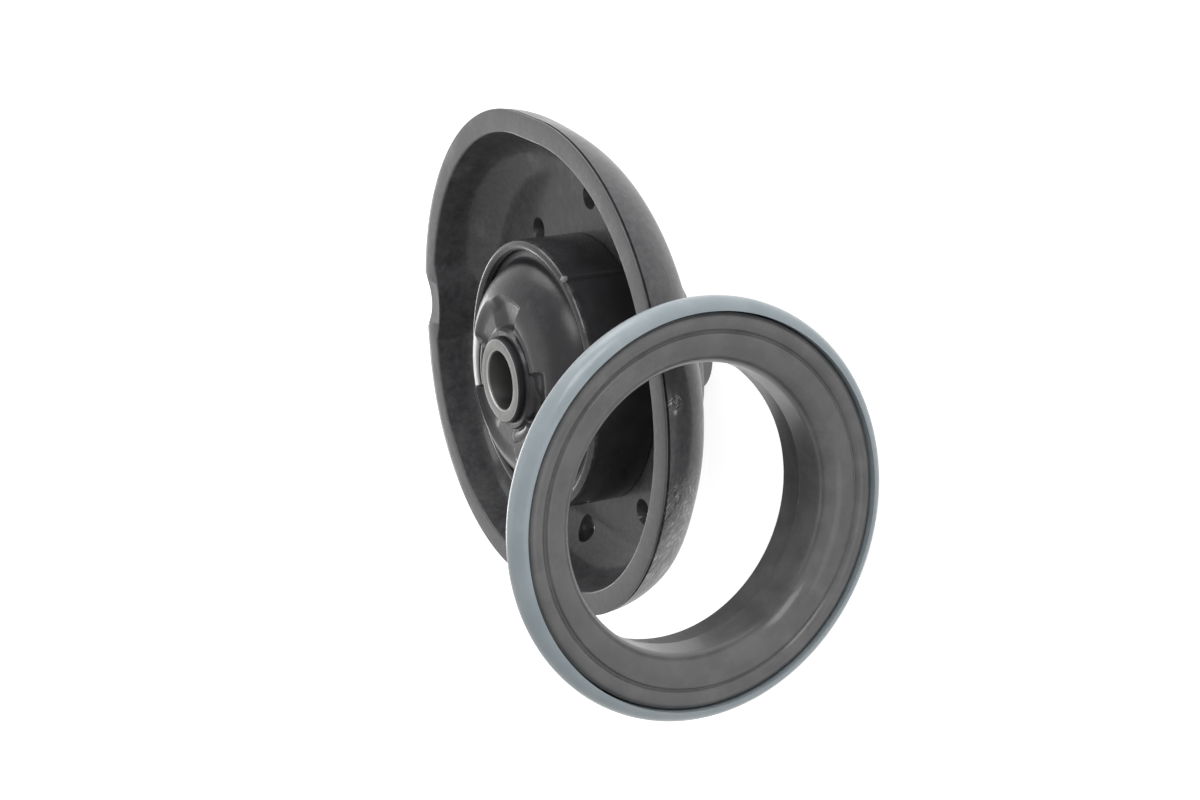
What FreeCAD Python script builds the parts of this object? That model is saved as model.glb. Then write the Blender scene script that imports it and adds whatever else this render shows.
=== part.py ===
# Top strut mount with its bearing taken off, in millimetres.
# +Z is the damper rod's axis. The origin is where that axis crosses the plane of the cup's rim.
# The mount stands on its sleeve with its mouth up, and the bearing leans on the rim, on its edge.
import FreeCAD, Part
import math
import os
import Sketcher

Vector = FreeCAD.Vector
doc = FreeCAD.newDocument("strut_mount")

BALL_COUNT = 20
BALL_SIDES = 8
BALL_BANDS = 4
LOBE_COUNT = 3
HOLE_PAIRS = 2
SHOULDER_BANDS = 3
INNER_BANDS = 2

# Driving sizes, each named once.
DRIVING = [
    # Rod, sleeve and rubber, from the axis outwards.
    ("rod_radius", 7.1), ("sleeve_wall", 3), ("sleeve_stand", 9), ("sleeve_drop", 14.9),
    ("sleeve_chamfer", 0.5), ("cuff_width", 2.1), ("cuff_height", 7.4), ("crown_width", 3.9),
    ("crown_height", 7.2), ("crown_fall", 0.8), ("dome_rise", 2.8), ("dome_edge_depth", 0.8),
    ("groove_width", 2.3), ("groove_gap", 0.1), ("lobe_reach", 10.1), ("lobe_floor", 3.2),
    ("lobe_span_angle", 76), ("lobe_turn_angle", 21.5),
    ("core_width", 9.9), ("core_thickness", 4), ("core_depth", 12),
    # The steel can: its wall, rolled lip and neck.
    ("can_radius", 32.5), ("can_wall", 1.5), ("lip_width", 2.4), ("lip_height", 1.2),
    ("lip_chamfer", 0.7), ("lip_edge_depth", 0.2), ("lip_tuck", 1.4), ("neck_length", 14.2),
    ("fit_clearance", 0.05),
    # The cup's outline: four corner circles joined by short tangents, each swelling from the smallest.
    ("trough_width", 18.6),
    ("corner_one_x", 2.0), ("corner_one_y", -1.6), ("corner_one_swell", 8.2),
    ("corner_two_x", 7.7), ("corner_two_y", 8.8), ("corner_two_swell", 4),
    ("corner_three_x", -2.6), ("corner_three_y", 12.6),
    ("corner_four_x", -2.1), ("corner_four_y", -8.6), ("corner_four_swell", 2.7),
    # The cup's walls, floor and pilot collar.
    ("rim_width", 5.6), ("cup_depth", 15.2), ("floor_thickness", 3.6), ("wall_draft_angle", 6),
    ("shoulder_radius", 18), ("inner_fillet", 10.5), ("collar_length", 12), ("collar_wall", 3.35),
    # The flute in the wall, opposite the bearing.
    ("flute_turn_angle", 87), ("flute_radius", 8), ("flute_depth", 4.2), ("flute_corner", 2.5),
    ("flute_wall", 4.4), ("flute_blend", 5),
    # The floor's holes, in pairs half a turn apart, by their distance from the can.
    ("hole_radius", 3.35), ("near_hole_gap", 3.25), ("near_hole_angle", 37),
    ("far_hole_gap", 6.05), ("far_hole_angle", -6),
    # The bearing's rings, from the bore outwards. Depths run along its axis from the crest of its gap.
    ("bore_radius", 30.5), ("pilot_clearance", 0.2), ("bell_width", 6.9), ("bead_width", 3.9),
    ("bead_crest", 0.55), ("bead_flank", 0.9), ("bead_edge_depth", 0.4), ("crease_depth", 0.75),
    ("bell_crest", 0.1), ("bell_flank", 0.7), ("bell_radius", 4.8), ("bore_land", 6.4), ("skirt_wall", 1.6),
    ("running_gap", 0.3), ("base_wall", 1.1), ("base_wall_depth", 1.6), ("seal_width", 2.8),
    ("seal_crest", 1.05), ("seal_land_depth", 1), ("seal_land", 2.4), ("seal_foot", 1.7),
    ("crack_height", 0.4), ("strip_step", 1.2), ("strip_wall", 2.2), ("strip_root_wall", 2.8),
    ("strip_length", 8.3), ("lap_gap", 1.1), ("foot_rise", 0.4), ("foot_wall", 0.4), ("base_floor", 1.6),
    # Balls, races and cage.
    ("ball_radius", 1.8), ("ball_inset", 4.6), ("ball_play", 0.03), ("race_width", 4.4),
    ("race_web", 0.45), ("race_lip", 0.6), ("race_groove_angle", 15), ("cage_height", 1.4),
    ("cage_wall", 0.35), ("pocket_play", 0.25),
    # How the bearing stands: its tilt, its offset to the side and the gap at the rim.
    ("lean_angle", -1.1), ("bearing_side", -15.9), ("lean_gap", 0.05),
]

# Sizes worked out from the driving ones.
DERIVED = [
    ("level", "0"),
    ("floor_level", "-cup_depth"),
    ("cup_height", "cup_depth + floor_thickness"),
    ("under_level", "-cup_height"),
    ("foot_level", "under_level - collar_length"),
    ("root_level", "floor_level - floor_thickness / 2"),
    # Bearing: radii from the bore outwards.
    ("crease_radius", "bore_radius + bell_width"),
    ("top_radius", "crease_radius + bead_width"),
    ("gap_radius", "top_radius + running_gap"),
    ("base_radius", "gap_radius + base_wall"),
    ("bearing_radius", "gap_radius + seal_width"),
    ("bead_outer_radius", "top_radius - bead_flank"),
    ("bead_inner_radius", "crease_radius + bead_flank"),
    ("skirt_radius", "bore_radius + skirt_wall"),
    ("lap_radius", "skirt_radius + lap_gap"),
    ("strip_radius", "bore_radius + strip_step"),
    ("strip_outer_radius", "strip_radius + strip_wall"),
    ("strip_root_radius", "strip_radius + strip_root_wall"),
    ("ball_reach", "top_radius - ball_inset"),
    ("race_inner_radius", "ball_reach - race_width / 2"),
    ("race_outer_radius", "ball_reach + race_width / 2"),
    ("race_seat_radius", "race_outer_radius + fit_clearance"),
    ("foot_radius", "race_seat_radius + foot_wall"),
    # Bearing: levels from its front to its back.
    ("bead_edge_level", "-bead_edge_depth"),
    ("crease_level", "-crease_depth"),
    ("bell_level", "bell_crest - bell_radius"),
    ("skirt_level", "bell_level - bore_land"),
    ("strip_level", "skirt_level - crack_height"),
    ("base_foot_level", "skirt_level + foot_rise"),
    ("back_level", "base_foot_level - strip_length"),
    ("base_top_level", "-base_wall_depth"),
    ("seal_high_level", "-seal_land_depth"),
    ("seal_low_level", "seal_high_level - seal_land"),
    ("seal_foot_level", "seal_low_level - seal_foot"),
    # Bearing: the bell-mouth's crest, and the quarter circle from there to the bore.
    ("bell_flank_radius", "crease_radius - bell_flank"),
    ("bell_crest_radius", "bore_radius + bell_radius"),
    ("bell_middle_radius", "bell_crest_radius - bell_radius * cos(45 * 1deg)"),
    ("bell_middle_level", "bell_level + bell_radius * sin(45 * 1deg)"),
    # Bearing: balls between two grooves, on the base ring's floor.
    ("groove_reach", "(ball_radius + ball_play) / cos(race_groove_angle * 1deg)"),
    ("groove_fall", "race_width / 2 * tan(race_groove_angle * 1deg)"),
    ("race_low_level", "base_foot_level + base_floor"),
    ("low_groove_level", "race_low_level + race_web"),
    ("low_race_level", "low_groove_level + groove_fall"),
    ("ball_level", "low_groove_level + groove_reach"),
    ("high_groove_level", "ball_level + groove_reach"),
    ("high_race_level", "high_groove_level - groove_fall"),
    ("race_top_level", "high_groove_level + race_web"),
    ("top_foot_level", "race_top_level - race_lip"),
    ("cage_top_level", "ball_level + cage_height / 2"),
    ("cage_foot_level", "ball_level - cage_height / 2"),
    ("pocket_half", "ball_radius + pocket_play"),
    ("pocket_minus_half", "-pocket_half"),
    ("pocket_inner_radius", "ball_reach - pocket_half"),
    ("pocket_outer_radius", "ball_reach + pocket_half"),
    ("cage_inner_radius", "pocket_inner_radius - cage_wall"),
    ("cage_outer_radius", "pocket_outer_radius + cage_wall"),
    # Pilot collar: its root is a cone that the bell-mouth sits on.
    ("pilot_radius", "bore_radius - pilot_clearance"),
    ("neck_hole_radius", "pilot_radius - collar_wall"),
    ("seat_level", "under_level - bead_crest + bell_level"),
    ("root_foot_level", "seat_level + (bell_radius + pilot_clearance) * tan(22.5 * 1deg)"),
    ("root_radius", "pilot_radius + root_level - root_foot_level"),
    # Can.
    ("lip_outer_radius", "can_radius - lip_chamfer"),
    ("lip_edge_level", "-lip_edge_depth"),
    ("lip_inner_radius", "can_radius - lip_width"),
    ("lip_top_radius", "lip_inner_radius + lip_chamfer"),
    ("lip_seat_level", "lip_edge_level - lip_tuck"),
    ("can_inner_radius", "can_radius - can_wall"),
    ("can_floor_level", "floor_level + can_wall"),
    ("neck_radius", "neck_hole_radius - fit_clearance"),
    ("neck_inner_radius", "neck_radius - can_wall"),
    ("neck_foot_level", "floor_level - neck_length"),
    # Sleeve.
    ("sleeve_radius", "rod_radius + sleeve_wall"),
    ("sleeve_foot_level", "neck_foot_level - sleeve_drop"),
    ("sleeve_chamfer_level", "sleeve_stand - sleeve_chamfer"),
    ("sleeve_face_radius", "sleeve_radius - sleeve_chamfer"),
    ("rod_mouth_radius", "rod_radius + sleeve_chamfer"),
    # Rubber and the plate inside it.
    ("core_radius", "sleeve_radius + core_width"),
    ("core_level", "-core_depth"),
    ("core_foot_level", "core_level - core_thickness"),
    ("cuff_radius", "sleeve_radius + cuff_width"),
    ("cuff_foot_level", "crown_height - crown_fall"),
    ("crown_radius", "sleeve_radius + crown_width"),
    ("dome_radius", "lip_inner_radius - groove_width"),
    ("dome_edge_level", "-dome_edge_depth"),
    ("groove_level", "lip_seat_level - groove_gap"),
    ("dome_width", "dome_radius - crown_radius"),
    ("dome_drop", "crown_height + dome_edge_depth"),
    ("dome_chord", "sqrt(dome_width * dome_width + dome_drop * dome_drop)"),
    ("dome_middle_radius", "(dome_radius + crown_radius) / 2 + dome_rise * dome_drop / dome_chord"),
    ("dome_middle_level", "(crown_height - dome_edge_depth) / 2 + dome_rise * dome_width / dome_chord"),
    ("lobe_radius", "sleeve_radius + lobe_reach"),
    ("lobe_near_x", "cuff_radius * cos(lobe_span_angle / 2 * 1deg)"),
    ("lobe_near_y", "cuff_radius * sin(lobe_span_angle / 2 * 1deg)"),
    ("lobe_near_minus_y", "-lobe_near_y"),
    ("lobe_far_x", "lobe_radius * cos(lobe_span_angle / 2 * 1deg)"),
    ("lobe_far_y", "lobe_radius * sin(lobe_span_angle / 2 * 1deg)"),
    ("lobe_far_minus_y", "-lobe_far_y"),
    # Cup: corner radii and the holes' distances from the axis.
    ("corner_three_radius", "can_radius + trough_width"),
    ("corner_one_radius", "corner_three_radius + corner_one_swell"),
    ("corner_two_radius", "corner_three_radius + corner_two_swell"),
    ("corner_four_radius", "corner_three_radius + corner_four_swell"),
    ("near_hole_reach", "can_radius + near_hole_gap + hole_radius"),
    ("far_hole_reach", "can_radius + far_hole_gap + hole_radius"),
    # Flute: its circle's place from the second corner's centre.
    ("flute_reach", "corner_two_radius + flute_radius - flute_depth"),
    ("flute_end", "flute_reach + flute_radius"),
    ("cut_rim", "corner_two_radius"),
    ("cut_radius", "flute_radius"),
    ("cut_corner", "flute_corner"),
    ("bulge_rim", "corner_two_radius - rim_width"),
    ("bulge_radius", "flute_radius + flute_wall"),
    ("bulge_corner", "flute_blend"),
    # The bearing's place on its edge beside the cup.
    ("touch_reach", "bearing_side + strip_radius - corner_four_x"),
    ("touch_y", "corner_four_y - sqrt(corner_four_radius * corner_four_radius - touch_reach * touch_reach)"),
    ("bearing_y", "touch_y - lean_gap + back_level * cos(lean_angle * 1deg)"),
    ("bearing_z", "sleeve_foot_level + bearing_radius * cos(lean_angle * 1deg)"
                  " - seal_high_level * sin(lean_angle * 1deg)"),
    ("bearing_turn", "90 - lean_angle"),
]

# A flute's corner arc touches the rim's circle from inside and the flute's circle from outside.
for form in ("cut", "bulge"):
    DERIVED += [
        (f"{form}_inner", f"{form}_rim - {form}_corner"),
        (f"{form}_outer", f"{form}_radius + {form}_corner"),
        (f"{form}_x", f"(flute_reach * flute_reach + {form}_inner * {form}_inner"
                      f" - {form}_outer * {form}_outer) / (2 * flute_reach)"),
        (f"{form}_y", f"sqrt({form}_inner * {form}_inner - {form}_x * {form}_x)"),
        (f"{form}_rim_x", f"{form}_x * {form}_rim / {form}_inner"),
        (f"{form}_rim_y", f"{form}_y * {form}_rim / {form}_inner"),
        (f"{form}_rim_minus_y", f"-{form}_rim_y"),
        (f"{form}_circle_x", f"flute_reach - (flute_reach - {form}_x) * {form}_radius / {form}_outer"),
        (f"{form}_circle_y", f"{form}_y * {form}_radius / {form}_outer"),
        (f"{form}_circle_minus_y", f"-{form}_circle_y"),
    ]

# A rounded foot in flat bands: band 0 is the drafted wall, the others follow the rounding's arc.
for form, start, depth, rounding, bands in (
    ("outside", "level", "cup_height", "shoulder_radius", SHOULDER_BANDS),
    ("inside", "rim_width", "cup_depth", "inner_fillet", INNER_BANDS),
):
    draft = "wall_draft_angle * 1deg"
    DERIVED += [
        (f"{form}_inset_0", start),
        (f"{form}_level_0", "level"),
        (f"{form}_arc_inset", f"{start} + ({depth} - {rounding} * (1 - sin({draft}))) * tan({draft})"
                              f" + {rounding} * cos({draft})"),
    ]
    for band in range(1, bands + 2):
        angle = f"((90 - wall_draft_angle) * {band - 1} / {bands} + wall_draft_angle) * 1deg"
        DERIVED += [
            (f"{form}_inset_{band}", f"{form}_arc_inset - {rounding} * cos({angle})"),
            (f"{form}_level_{band}", f"{rounding} * (1 - sin({angle})) - {depth}"),
        ]

sheet = doc.addObject("Spreadsheet::Sheet", "sizes")
for row, (alias, value) in enumerate(DRIVING, start=1):
    sheet.set(f"A{row}", alias)
    sheet.set(f"B{row}", str(value))
    sheet.setAlias(f"B{row}", alias)
for row, (alias, formula) in enumerate(DERIVED, start=1):
    sheet.set(f"D{row}", alias)
    sheet.set(f"E{row}", "=" + formula)
    sheet.setAlias(f"E{row}", alias)
doc.recompute()


def size(alias):
    """The sheet's value under an alias, in millimetres or degrees."""
    return float(sheet.get(alias))


def new_sketch(body, name, role):
    """An empty sketch on one of a body's own origin planes."""
    sketch = body.newObject("Sketcher::SketchObject", name)
    plane = next(item for item in body.Origin.OriginFeatures if item.Role == role)
    sketch.AttachmentSupport = (plane, [""])
    sketch.MapMode = "FlatFace"
    return sketch


def tie(sketch, kind, alias, *where):
    """A dimension of a sketch that follows the sheet."""
    place = sketch.addConstraint(Sketcher.Constraint(kind, *where, size(alias)))
    sketch.setExpression(f"Constraints[{place}]", f"sizes.{alias}")


def arc_middle(start, end, radius, side):
    """The middle of the arc from start to end; side is 1 if it bulges to the left of the chord."""
    chord = end - start
    half = chord.Length / 2
    rise = radius - math.sqrt(radius * radius - half * half)
    left = Vector(-chord.y, chord.x, 0).normalize()
    return (start + end) / 2 + left * (rise * side)


def profile_sketch(body, name, role, corners):
    """A closed sketch. Each corner is (x, y) in aliases, with (radius, side) where an arc follows."""
    sketch = new_sketch(body, name, role)
    points = [Vector(size(corner[0]), size(corner[1]), 0) for corner in corners]
    ends = []
    for index, corner in enumerate(corners):
        start = points[index]
        end = points[(index + 1) % len(points)]
        if len(corner) > 2:
            middle = arc_middle(start, end, size(corner[2]), corner[3])
            edge = sketch.addGeometry(Part.Arc(start, middle, end), False)
            forward = (sketch.getPoint(edge, 1) - start).Length < (sketch.getPoint(edge, 2) - start).Length
            ends.append((edge, 1, 2) if forward else (edge, 2, 1))
        else:
            edge = sketch.addGeometry(Part.LineSegment(start, end), False)
            ends.append((edge, 1, 2))
    for index, corner in enumerate(corners):
        edge, first, last = ends[index]
        following, following_first, following_last = ends[(index + 1) % len(corners)]
        sketch.addConstraint(Sketcher.Constraint("Coincident", edge, last, following, following_first))
        tie(sketch, "DistanceX", corner[0], -1, 1, edge, first)
        tie(sketch, "DistanceY", corner[1], -1, 1, edge, first)
        if len(corner) > 2:
            tie(sketch, "Radius", corner[2], edge)
    return sketch


def turned(label, corners):
    """A body turned about its Z axis from a profile of (radius, level) corners."""
    body = doc.addObject("PartDesign::Body", label)
    turn = body.newObject("PartDesign::Revolution", label + "_turned")
    turn.Profile = profile_sketch(body, label + "_profile", "XZ_Plane", corners)
    turn.ReferenceAxis = (turn.Profile[0], ["V_Axis"])
    turn.Angle = 360
    return body


# Seat cup.
CORNERS = ("one", "two", "three", "four")


def outline_sketch(body, name, inset, level):
    """The rim's outline, drawn in by an inset at a level: four arcs whose ends meet tangents."""
    sketch = new_sketch(body, name, "XY_Plane")
    sketch.setExpression("AttachmentOffset.Base.z", f"sizes.{level}")
    inward = size(inset)
    circles = []
    for corner in CORNERS:
        centre = Vector(size(f"corner_{corner}_x"), size(f"corner_{corner}_y"), 0)
        circles.append((centre, size(f"corner_{corner}_radius") - inward))
    normals = []
    for index, (centre, radius) in enumerate(circles):
        following, following_radius = circles[(index + 1) % len(circles)]
        step = following - centre
        normals.append(math.atan2(step.y, step.x) - math.acos((radius - following_radius) / step.Length))
    arcs = []
    for index, (centre, radius) in enumerate(circles):
        first = normals[index - 1]
        last = normals[index]
        if last < first:
            last += 2 * math.pi
        circle = Part.Circle(centre, Vector(0, 0, 1), radius)
        arcs.append(sketch.addGeometry(Part.ArcOfCircle(circle, first, last), False))
    for index, arc in enumerate(arcs):
        following = arcs[(index + 1) % len(arcs)]
        tangent = Part.LineSegment(sketch.getPoint(arc, 2), sketch.getPoint(following, 1))
        line = sketch.addGeometry(tangent, False)
        sketch.addConstraint(Sketcher.Constraint("Tangent", arc, 2, line, 1))
        sketch.addConstraint(Sketcher.Constraint("Tangent", line, 2, following, 1))
    for arc, corner in zip(arcs, CORNERS):
        tie(sketch, "DistanceX", f"corner_{corner}_x", -1, 1, arc, 3)
        tie(sketch, "DistanceY", f"corner_{corner}_y", -1, 1, arc, 3)
        radius = size(f"corner_{corner}_radius") - inward
        place = sketch.addConstraint(Sketcher.Constraint("Radius", arc, radius))
        sketch.setExpression(f"Constraints[{place}]", f"sizes.corner_{corner}_radius - sizes.{inset}")
    return sketch


def dished_form(form, bands):
    """The cup's outer or inner form: tapered pads, one below the other, from the rim to the floor."""
    body = doc.addObject("PartDesign::Body", f"cup_{form}")
    for band in range(bands + 1):
        top = f"sizes.{form}_level_{band}"
        foot = f"sizes.{form}_level_{band + 1}"
        inset = f"sizes.{form}_inset_{band}"
        foot_inset = f"sizes.{form}_inset_{band + 1}"
        pad = body.newObject("PartDesign::Pad", f"{form}_band_{band}")
        pad.Profile = outline_sketch(
            body, f"{form}_outline_{band}", f"{form}_inset_{band}", f"{form}_level_{band}"
        )
        pad.Reversed = True
        pad.setExpression("Length", f"{top} - {foot}")
        pad.setExpression("TaperAngle", f"-atan(({foot_inset} - {inset}) / ({top} - {foot}))")
    return body


def flute_prism(form):
    """An upright prism from above the rim to below the floor, for the flute or its wall's bulge."""
    body = doc.addObject("PartDesign::Body", f"flute_{form}")
    corners = [
        ("flute_end", f"{form}_rim_minus_y"),
        ("flute_end", f"{form}_rim_y"),
        (f"{form}_rim_x", f"{form}_rim_y", f"{form}_corner", 1),
        (f"{form}_circle_x", f"{form}_circle_y", f"{form}_radius", -1),
        (f"{form}_circle_x", f"{form}_circle_minus_y", f"{form}_corner", 1),
        (f"{form}_rim_x", f"{form}_rim_minus_y"),
    ]
    pad = body.newObject("PartDesign::Pad", f"flute_{form}_pad")
    pad.Profile = profile_sketch(body, f"flute_{form}_profile", "XY_Plane", corners)
    pad.Midplane = True
    pad.setExpression("Length", "3 * sizes.cup_height")
    turn = FreeCAD.Rotation(Vector(0, 0, 1), size("flute_turn_angle"))
    body.Placement = FreeCAD.Placement(Vector(size("corner_two_x"), size("corner_two_y"), 0), turn)
    return body


def joined(kind, name, base, tool):
    """A boolean of two objects, with its seams merged."""
    result = doc.addObject(kind, name)
    result.Base = base
    result.Tool = tool
    result.Refine = True
    return result


def drill(name, radius, reach, angle):
    """A cylinder through the whole cup, at a reach and angle from the rod's axis."""
    cylinder = doc.addObject("Part::Cylinder", name)
    cylinder.setExpression("Radius", f"sizes.{radius}")
    cylinder.setExpression("Height", "-3 * sizes.foot_level")
    direction = FreeCAD.Rotation(Vector(0, 0, 1), angle).multVec(Vector(reach, 0, 0))
    cylinder.Placement = FreeCAD.Placement(
        direction + Vector(0, 0, 2 * size("foot_level")), FreeCAD.Rotation()
    )
    return cylinder


outside = dished_form("outside", SHOULDER_BANDS)
inside = dished_form("inside", INNER_BANDS)
collar = turned("pilot_collar", [
    ("neck_hole_radius", "root_level"),
    ("neck_hole_radius", "foot_level"),
    ("pilot_radius", "foot_level"),
    ("pilot_radius", "root_foot_level"),
    ("root_radius", "root_level"),
])
cavity = joined("Part::Cut", "cup_cavity", inside, flute_prism("bulge"))
shell = joined("Part::Cut", "cup_shell", outside, cavity)
fluted = joined("Part::Cut", "cup_fluted", shell, flute_prism("cut"))
rooted = joined("Part::Fuse", "cup_rooted", fluted, collar)
drills = [drill("neck_hole", "neck_hole_radius", 0, 0)]
for pair in range(HOLE_PAIRS):
    for name in ("near_hole", "far_hole"):
        turn = size(f"{name}_angle") + 360 / HOLE_PAIRS * pair
        drills.append(drill(f"{name}_{pair + 1}", "hole_radius", size(f"{name}_reach"), turn))
drilled = doc.addObject("Part::MultiFuse", "floor_drills")
drilled.Shapes = drills
seat_cup = joined("Part::Cut", "seat_cup", rooted, drilled)

# Steel can, with its lip rolled inwards over the rubber and its neck in the cup's floor.
hub_can = turned("hub_can", [
    ("can_radius", "lip_edge_level"),
    ("lip_outer_radius", "lip_height"),
    ("lip_top_radius", "lip_height"),
    ("lip_inner_radius", "lip_edge_level"),
    ("can_inner_radius", "lip_seat_level"),
    ("can_inner_radius", "can_floor_level"),
    ("neck_inner_radius", "can_floor_level"),
    ("neck_inner_radius", "neck_foot_level"),
    ("neck_radius", "neck_foot_level"),
    ("neck_radius", "floor_level"),
    ("can_radius", "floor_level"),
])

# Rubber, bonded to the can, the sleeve and the plate inside it.
rubber_bush = turned("rubber_bush", [
    ("sleeve_radius", "cuff_height"),
    ("sleeve_radius", "core_level"),
    ("core_radius", "core_level"),
    ("core_radius", "core_foot_level"),
    ("sleeve_radius", "core_foot_level"),
    ("sleeve_radius", "neck_foot_level"),
    ("neck_inner_radius", "neck_foot_level"),
    ("neck_inner_radius", "can_floor_level"),
    ("can_inner_radius", "can_floor_level"),
    ("can_inner_radius", "groove_level"),
    ("dome_radius", "dome_edge_level"),
    ("dome_middle_radius", "dome_middle_level"),
    ("crown_radius", "crown_height"),
    ("cuff_radius", "cuff_foot_level"),
    ("cuff_radius", "cuff_height"),
])
doc.recompute()
solid_dome = rubber_bush.Shape.Volume
lobe_sketch = profile_sketch(rubber_bush, "lobe_profile", "XY_Plane", [
    ("lobe_near_x", "lobe_near_minus_y"),
    ("lobe_far_x", "lobe_far_minus_y", "lobe_radius", -1),
    ("lobe_far_x", "lobe_far_y"),
    ("lobe_near_x", "lobe_near_y", "cuff_radius", 1),
])
lobe_sketch.setExpression("AttachmentOffset.Base.z", "sizes.lobe_floor")
lobe = rubber_bush.newObject("PartDesign::Pocket", "lobe")
lobe.Profile = lobe_sketch
lobe.Reversed = True
lobe.setExpression("Length", "sizes.crown_height")
lobes = rubber_bush.newObject("PartDesign::PolarPattern", "lobes")
lobes.Originals = [lobe]
lobes.Axis = (lobe_sketch, ["N_Axis"])
lobes.Angle = 360
lobes.Occurrences = LOBE_COUNT
rubber_bush.Tip = lobes
lobe_turn = FreeCAD.Rotation(Vector(0, 0, 1), size("lobe_turn_angle"))
rubber_bush.Placement = FreeCAD.Placement(Vector(0, 0, 0), lobe_turn)

inner_sleeve = turned("inner_sleeve", [
    ("rod_radius", "sleeve_foot_level"),
    ("sleeve_radius", "sleeve_foot_level"),
    ("sleeve_radius", "sleeve_chamfer_level"),
    ("sleeve_face_radius", "sleeve_stand"),
    ("rod_mouth_radius", "sleeve_stand"),
    ("rod_radius", "sleeve_chamfer_level"),
])
core_plate = turned("core_plate", [
    ("sleeve_radius", "core_foot_level"),
    ("core_radius", "core_foot_level"),
    ("core_radius", "core_level"),
    ("sleeve_radius", "core_level"),
])

# The bearing, drawn along its own axis: the top ring, which turns, has the bead and the bell-mouth.
bearing_top_ring = turned("bearing_top_ring", [
    ("top_radius", "bead_edge_level"),
    ("bead_outer_radius", "bead_crest"),
    ("bead_inner_radius", "bead_crest"),
    ("crease_radius", "crease_level"),
    ("bell_flank_radius", "bell_crest"),
    ("bell_crest_radius", "bell_crest"),
    ("bell_middle_radius", "bell_middle_level"),
    ("bore_radius", "bell_level"),
    ("bore_radius", "skirt_level"),
    ("skirt_radius", "skirt_level"),
    ("race_inner_radius", "race_top_level"),
    ("race_seat_radius", "race_top_level"),
    ("race_seat_radius", "top_foot_level"),
    ("top_radius", "top_foot_level"),
])
bearing_base_ring = turned("bearing_base_ring", [
    ("strip_radius", "strip_level"),
    ("strip_radius", "back_level"),
    ("strip_outer_radius", "back_level"),
    ("strip_root_radius", "base_foot_level"),
    ("foot_radius", "base_foot_level"),
    ("base_radius", "seal_foot_level"),
    ("base_radius", "base_top_level"),
    ("gap_radius", "base_top_level"),
    ("gap_radius", "seal_foot_level"),
    ("race_seat_radius", "race_low_level"),
    ("lap_radius", "race_low_level"),
    ("lap_radius", "strip_level"),
])
bearing_rim_seal = turned("bearing_rim_seal", [
    ("base_radius", "seal_foot_level"),
    ("bearing_radius", "seal_low_level"),
    ("bearing_radius", "seal_high_level"),
    ("gap_radius", "seal_crest"),
    ("gap_radius", "base_top_level"),
    ("base_radius", "base_top_level"),
])
upper_race = turned("upper_race", [
    ("race_inner_radius", "high_race_level"),
    ("ball_reach", "high_groove_level"),
    ("race_outer_radius", "high_race_level"),
    ("race_outer_radius", "race_top_level"),
    ("race_inner_radius", "race_top_level"),
])
lower_race = turned("lower_race", [
    ("race_inner_radius", "race_low_level"),
    ("race_outer_radius", "race_low_level"),
    ("race_outer_radius", "low_race_level"),
    ("ball_reach", "low_groove_level"),
    ("race_inner_radius", "low_race_level"),
])

# Cage: a flat ring with a window for each ball.
ball_cage = turned("ball_cage", [
    ("cage_inner_radius", "cage_foot_level"),
    ("cage_outer_radius", "cage_foot_level"),
    ("cage_outer_radius", "cage_top_level"),
    ("cage_inner_radius", "cage_top_level"),
])
doc.recompute()
solid_cage = ball_cage.Shape.Volume
window_sketch = profile_sketch(ball_cage, "window_profile", "XY_Plane", [
    ("pocket_inner_radius", "pocket_minus_half"),
    ("pocket_outer_radius", "pocket_minus_half"),
    ("pocket_outer_radius", "pocket_half"),
    ("pocket_inner_radius", "pocket_half"),
])
window = ball_cage.newObject("PartDesign::Pocket", "window")
window.Profile = window_sketch
window.setExpression("Length", "-2 * sizes.ball_level")
windows = ball_cage.newObject("PartDesign::PolarPattern", "windows")
windows.Originals = [window]
windows.Axis = (window_sketch, ["N_Axis"])
windows.Angle = 360
windows.Occurrences = BALL_COUNT
ball_cage.Tip = windows


# Balls: each a solid of flat facets whose corners lie on the ball, because they are small and many.
def ball_shape(radius):
    """A ball of flat facets: rings of corners between two poles."""
    rings = []
    for band in range(1, BALL_BANDS):
        tilt = math.pi * band / BALL_BANDS
        reach = radius * math.sin(tilt)
        height = radius * math.cos(tilt)
        ring = []
        for side in range(BALL_SIDES):
            turn = 2 * math.pi * side / BALL_SIDES
            ring.append(Vector(reach * math.cos(turn), reach * math.sin(turn), height))
        rings.append(ring)
    top = Vector(0, 0, radius)
    foot = Vector(0, 0, -radius)
    faces = []
    for side in range(BALL_SIDES):
        after = (side + 1) % BALL_SIDES
        faces.append([top, rings[0][side], rings[0][after]])
        faces.append([foot, rings[-1][after], rings[-1][side]])
        for upper, lower in zip(rings, rings[1:]):
            faces.append([upper[side], lower[side], lower[after], upper[after]])
    shell = Part.Shell([Part.Face(Part.makePolygon(corners + corners[:1])) for corners in faces])
    return Part.Solid(shell)


balls = []
for index in range(BALL_COUNT):
    ball = doc.addObject("Part::Feature", f"bearing_ball_{index + 1:02d}")
    ball.Shape = ball_shape(size("ball_radius"))
    balls.append(ball)

# The bearing's place: on its edge beside the cup, leaning on the rim.
stand = FreeCAD.Placement(
    Vector(size("bearing_side"), size("bearing_y"), size("bearing_z")),
    FreeCAD.Rotation(Vector(1, 0, 0), size("bearing_turn")),
)
for node in (bearing_top_ring, bearing_base_ring, bearing_rim_seal, upper_race, lower_race, ball_cage):
    node.Placement = stand
for index, ball in enumerate(balls):
    turn = FreeCAD.Rotation(Vector(0, 0, 1), 360 / BALL_COUNT * index)
    place = turn.multVec(Vector(size("ball_reach"), 0, size("ball_level")))
    ball.Placement = stand.multiply(FreeCAD.Placement(place, turn))
doc.recompute()

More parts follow.
